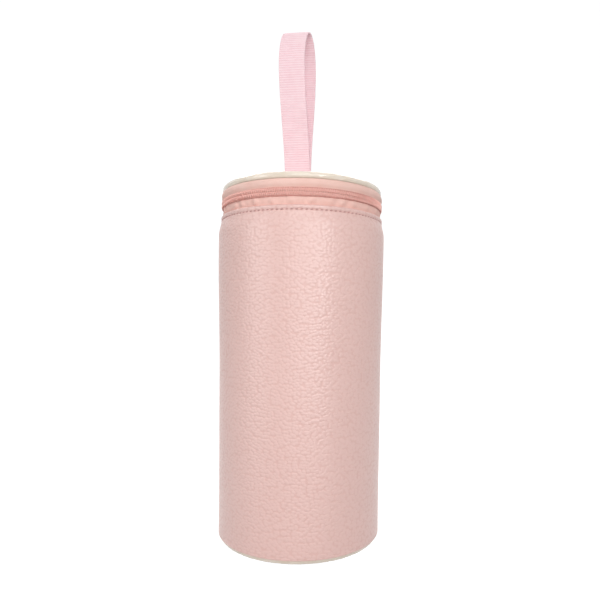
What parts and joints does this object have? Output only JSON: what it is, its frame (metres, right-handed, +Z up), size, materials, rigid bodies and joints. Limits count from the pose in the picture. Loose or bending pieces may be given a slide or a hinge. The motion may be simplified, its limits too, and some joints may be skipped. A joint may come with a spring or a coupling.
{
  "type": "insulated baby bottle bag",
  "caption": "Upright cylindrical zipped bag that keeps a baby bottle warm: grained soft leather, foil-lined foam wall, hinged lid and a webbing carry loop.",
  "frame": {"origin": "centre of the base, on the ground", "axes": "+Z up along the pocket, +Y to the back where the lid hinges, +X to the right as seen from the front"},
  "size_m": [0.094, 0.094, 0.3058],
  "materials": {
    "grained_leather": "pebbled grain with a pearly sheen",
    "closed_cell_foam": "matte closed-cell foam",
    "foil_lining": "soft metallised film",
    "binding_tape": "woven ribbon",
    "welt": "glossy coated cloth",
    "welt_cord": "extruded cord",
    "zip_tape": "woven tape",
    "zip_coil": "moulded coil",
    "webbing": "ribbed webbing",
    "zip_metal": "nickel-plated die casting"
  },
  "bodies": {
    "bag": {"leather_shell": "grained_leather", "wall_foam": "closed_cell_foam", "wall_lining": "foil_lining", "rim_binding": "binding_tape", "base_cover": "grained_leather", "base_foam": "closed_cell_foam", "base_lining": "foil_lining", "base_piping": "welt", "base_piping_cord": "welt_cord", "lower_zip_tape": "zip_tape", "lower_zip_coil": "zip_coil", "hinge_panel": "grained_leather"},
    "lid": {"lid_cover": "grained_leather", "lid_foam": "closed_cell_foam", "lid_lining": "foil_lining", "lid_seam_binding": "binding_tape", "lid_piping": "welt", "lid_piping_cord": "welt_cord", "upper_zip_tape": "zip_tape", "upper_zip_coil": "zip_coil", "strap_tails": "webbing"},
    "strap": {"strap_loop": "webbing"},
    "slider": {"slider_body": "zip_metal", "slider_bail": "zip_metal"},
    "pull": {"pull_tab": "zip_metal"}
  },
  "joints": [
    {"name": "lid_hinge", "type": "hinge", "parent": "bag", "child": "lid", "pos_m": [0, 0.0416, 0.1854], "axis": [-1, 0, 0], "range_deg": [0, 110], "deforming": ["hinge_panel"]},
    {"name": "strap_swing", "type": "hinge", "parent": "lid", "child": "strap", "pos_m": [0, 0.03879, 0.19715], "axis": [-1, 0, 0], "range_deg": [-75, 55]},
    {"name": "slider_run", "type": "hinge", "parent": "bag", "child": "slider", "pos_m": [0, 0, 0.1854], "axis": [0, 0, 1], "range_deg": [-280, 0]},
    {"name": "pull_swing", "type": "hinge", "parent": "slider", "child": "pull", "pos_m": [0.03236, 0.03857, 0.1854], "axis": [0.766, -0.6428, 0], "range_deg": [0, 165]}
  ]
}
